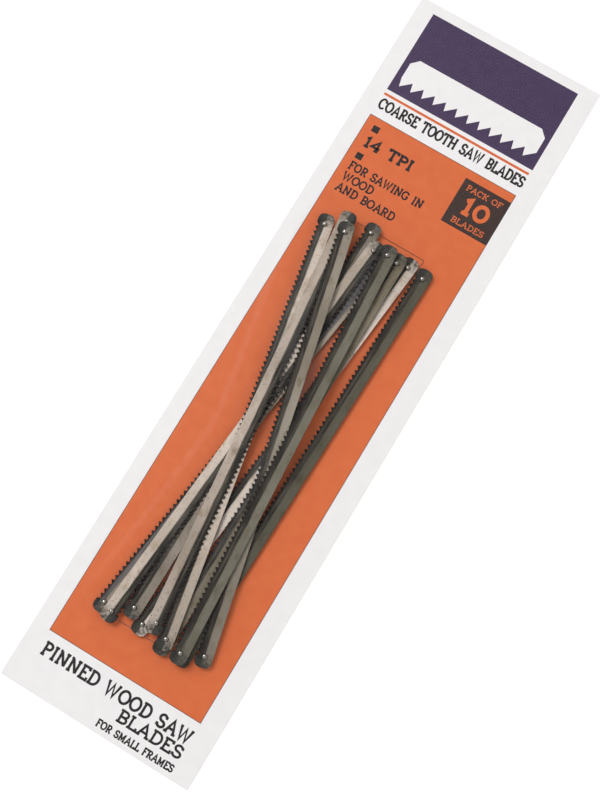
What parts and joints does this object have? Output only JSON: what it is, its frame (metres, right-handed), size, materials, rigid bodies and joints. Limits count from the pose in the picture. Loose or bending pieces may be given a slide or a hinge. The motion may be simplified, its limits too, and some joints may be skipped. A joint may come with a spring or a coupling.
{
  "type": "junior hacksaw blade pack",
  "caption": "Pack of junior hacksaw blades for wood, each with two cross pins, held under clear film on a printed card with a die-cut door that folds open at the back.",
  "frame": {"origin": "middle of the card's back face, which the pack lies on", "axes": "+X across the card, +Y along the card towards the printed header, +Z out of the printed face"},
  "size_m": [0.07, 0.267, 0.0087],
  "materials": {
    "printed_card": "white clay-coated board, printed orange and purple, satin",
    "door_card": "white clay-coated board, printed orange, satin",
    "blade_steel": "rolled carbon steel strip, tempered toothed edge, oil stains",
    "pin_steel": "bright drawn wire",
    "clear_film": "clear ionomer skin film, glossy"
  },
  "bodies": {
    "pack": {"backing_card": "printed_card", "blade_01": "blade_steel", "blade_01_upper_pin": "pin_steel", "blade_01_lower_pin": "pin_steel", "blade_02": "blade_steel", "blade_02_upper_pin": "pin_steel", "blade_02_lower_pin": "pin_steel", "blade_03": "blade_steel", "blade_03_upper_pin": "pin_steel", "blade_03_lower_pin": "pin_steel", "blade_04": "blade_steel", "blade_04_upper_pin": "pin_steel", "blade_04_lower_pin": "pin_steel", "blade_05": "blade_steel", "blade_05_upper_pin": "pin_steel", "blade_05_lower_pin": "pin_steel", "blade_06": "blade_steel", "blade_06_upper_pin": "pin_steel", "blade_06_lower_pin": "pin_steel", "blade_07": "blade_steel", "blade_07_upper_pin": "pin_steel", "blade_07_lower_pin": "pin_steel", "blade_08": "blade_steel", "blade_08_upper_pin": "pin_steel", "blade_08_lower_pin": "pin_steel", "blade_09": "blade_steel", "blade_09_upper_pin": "pin_steel", "blade_09_lower_pin": "pin_steel", "blade_10": "blade_steel", "blade_10_upper_pin": "pin_steel", "blade_10_lower_pin": "pin_steel", "clear_film": "clear_film"},
    "door": {"access_door": "door_card"}
  },
  "joints": [
    {"name": "door_crease", "type": "hinge", "parent": "pack", "child": "door", "pos_m": [-0.015, -0.024, 0], "axis": [0, 1, 0], "range_deg": [0, 170]}
  ]
}
